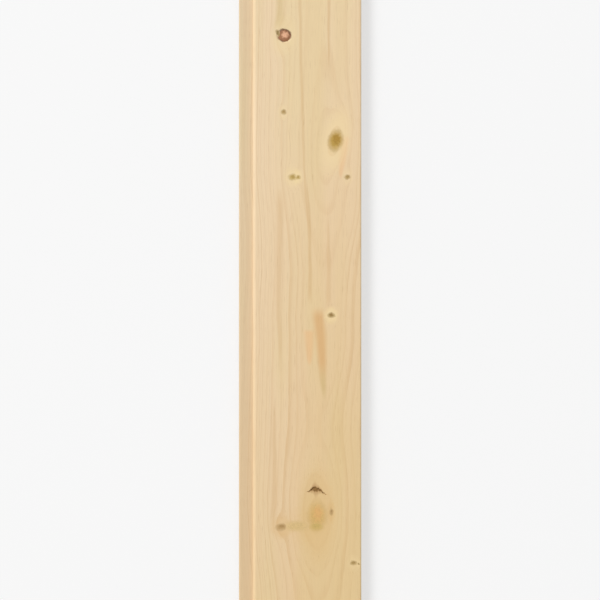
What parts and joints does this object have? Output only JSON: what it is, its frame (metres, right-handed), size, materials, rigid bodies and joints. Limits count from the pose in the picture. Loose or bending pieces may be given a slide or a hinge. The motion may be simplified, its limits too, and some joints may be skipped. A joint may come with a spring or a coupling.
{
  "type": "tongue-and-groove wood panelling board",
  "caption": "Long flat softwood board with a tongue along one edge, a groove along the other and a bevelled face edge, for lining walls and ceilings.",
  "frame": {"origin": "middle of the back face, in the middle of the length and of the width over the tongue", "axes": "+X across the board towards the groove edge, +Y along the grain, +Z from the back to the face"},
  "size_m": [0.096, 2.1, 0.0125],
  "materials": {
    "spruce": "planed, unfinished"
  },
  "bodies": {
    "root": {"panelling_board": "spruce"}
  },
  "joints": []
}
